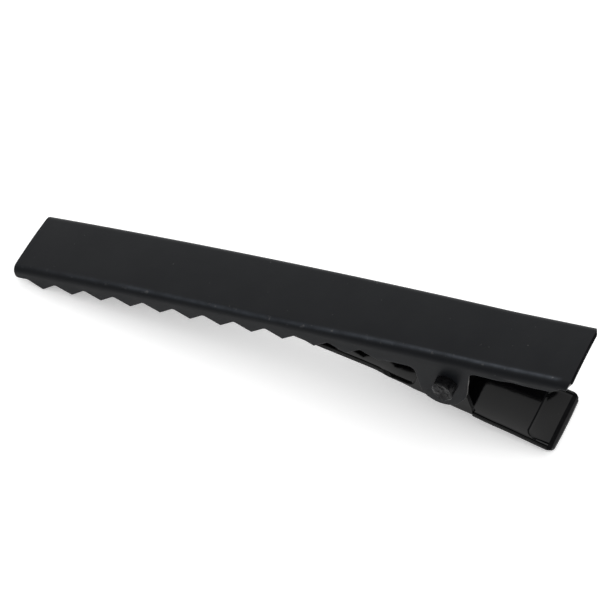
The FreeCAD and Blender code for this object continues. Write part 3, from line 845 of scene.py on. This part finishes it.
def blued_spring():
    return paint("blued_spring", colour=(0.004, 0.004, 0.005), mottled=(0.007, 0.0065, 0.007),
                 bare=(0.07, 0.07, 0.07), painted_highlight=(0.004, 0.004, 0.005), rough=0.5, rough_spread=0.06,
                 specular=0.1, grain=0.000002, peel=0.000002, wear=0.3)


def pin_metal():
    """Blackened steel, rubbed a little paler where the pin was hammered."""
    mat, nodes, links, bsdf = new_material("pin_black_steel")
    speck = noise_node(nodes, links, 2300, 5, 0.7)
    bare = multiply(nodes, links, remap(nodes, links, attribute(nodes, "edge"), 0.3, 0.9, 0, 1),
                    remap(nodes, links, speck, 0.5, 0.62, 0.12, 1))
    black, pale = (0.003, 0.003, 0.0035), (0.011, 0.011, 0.0125)
    links.new(mix_colour(nodes, links, bare, black, pale), bsdf.inputs["Base Color"])
    links.new(remap(nodes, links, bare, 0, 1, 0, 0.5), bsdf.inputs["Metallic"])
    bsdf.inputs["Specular IOR Level"].default_value = 0.15
    smear = noise_node(nodes, links, 1800, 4)
    links.new(remap(nodes, links, smear, 0.3, 0.7, 0.18, 0.42), bsdf.inputs["Roughness"])
    fine = noise_node(nodes, links, 3500, 5, 0.65)
    links.new(bumps(nodes, links, [(fine, 0.00006, 0.8)]), bsdf.inputs["Normal"])
    return mat


def raw_edge_and_crease_shade():
    """Dark, dry and without gloss: on the sheets' sheared ends, and as painted shade in the crease round the
    pad.
    """
    mat, nodes, links, bsdf = new_material("raw_edge_and_crease_shade")
    grime = remap(nodes, links, noise_node(nodes, links, 1200, 5, 0.6), 0.35, 0.65, 0, 1)
    dark, dusty = (0.003, 0.003, 0.0035), (0.007, 0.007, 0.0075)
    links.new(mix_colour(nodes, links, grime, dark, dusty), bsdf.inputs["Base Color"])
    links.new(remap(nodes, links, grime, 0, 1, 0.75, 0.95), bsdf.inputs["Roughness"])
    bsdf.inputs["Specular IOR Level"].default_value = 0.02
    fine = noise_node(nodes, links, 6000, 3)
    links.new(bumps(nodes, links, [(fine, 0.00001, 0.8)]), bsdf.inputs["Normal"])
    return mat


def dress(piece, material, dull_and_shade=None):
    """Give a piece its material, and a second one where its dull mark is set."""
    mesh = piece.data
    mesh.materials.append(material)
    if dull_and_shade is None:
        return
    mesh.materials.append(dull_and_shade)
    marks = mesh.attributes["dull_and_shade"].data
    for face in mesh.polygons:
        if sum(marks[i].value for i in face.vertices) > 0.4 * len(face.vertices):
            face.material_index = 1


# ---- floor, light and camera ---------------------------------------------------
def build_floor():
    size = 1.2
    corners = [(-size, -size, 0), (size, -size, 0), (size, size, 0), (-size, size, 0)]
    mesh = bpy.data.meshes.new("floor")
    mesh.from_pydata(corners, [], [(0, 1, 2, 3)])
    floor = bpy.data.objects.new("floor", mesh)
    bpy.context.scene.collection.objects.link(floor)
    mat, nodes, links, bsdf = new_material("white_table")
    cloud = noise_node(nodes, links, 6, 2)
    links.new(mix_colour(nodes, links, cloud, (0.9, 0.9, 0.9), (0.92, 0.92, 0.92)), bsdf.inputs["Base Color"])
    bsdf.inputs["Roughness"].default_value = 0.9
    bsdf.inputs["Specular IOR Level"].default_value = 0.0
    bsdf.inputs["Emission Color"].default_value = (1, 1, 1, 1)
    bsdf.inputs["Emission Strength"].default_value = 0.32
    mesh.materials.append(mat)


def build_light():
    """A white studio all round, brighter behind the clip than in front of it."""
    world = bpy.data.worlds.new("studio")
    bpy.context.scene.world = world
    world.use_nodes = True
    nodes, links = world.node_tree.nodes, world.node_tree.links
    background = nodes["Background"]
    background.inputs["Color"].default_value = (1, 1, 1, 1)
    direction = nodes.new("ShaderNodeTexCoord")
    parts = nodes.new("ShaderNodeSeparateXYZ")
    links.new(direction.outputs["Generated"], parts.inputs[0])
    links.new(remap(nodes, links, parts.outputs[1], -0.8, 0.5, 0.6, 1.5), background.inputs["Strength"])
    bpy.context.scene.view_settings.view_transform = "Standard"


def build_camera():
    data = bpy.data.cameras.new("camera")
    data.lens, data.sensor_width = 188.34, 36.0
    data.clip_start, data.clip_end = 0.01, 5.0
    camera = bpy.data.objects.new("camera", data)
    bpy.context.scene.collection.objects.link(camera)
    right = aim(0.88401191, 0.42284831, -0.19930439)
    up = aim(-0.20781401, 0.7373897, 0.64270503)
    back = aim(0.41873175, -0.52674066, 0.73973509)
    turn = Matrix((right, up, back)).transposed().to_4x4()
    camera.matrix_world = Matrix.Translation(at(164.751, -166.879, 233.016)) @ turn
    bpy.context.scene.camera = camera


# ---- the clip ------------------------------------------------------------------
jaw = build_jaw()
lever = build_lever()
spring = build_spring()
pin = build_pin()

raw_and_shade = raw_edge_and_crease_shade()
dress(jaw, matt_black(), raw_and_shade)
# the lever's second material paints shade into the crease round the handle's pad
dress(lever, gloss_black(), raw_and_shade)
dress(spring, blued_spring())
dress(pin, pin_metal())

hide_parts("upper_jaw")
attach(jaw, "jaw")
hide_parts("lower_lever")
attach(lever, "lever")
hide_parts("hinge_pin")
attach(pin, "jaw")
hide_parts("spring")
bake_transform(spring)

build_floor()
build_light()
build_camera()

bpy.context.view_layer.update()
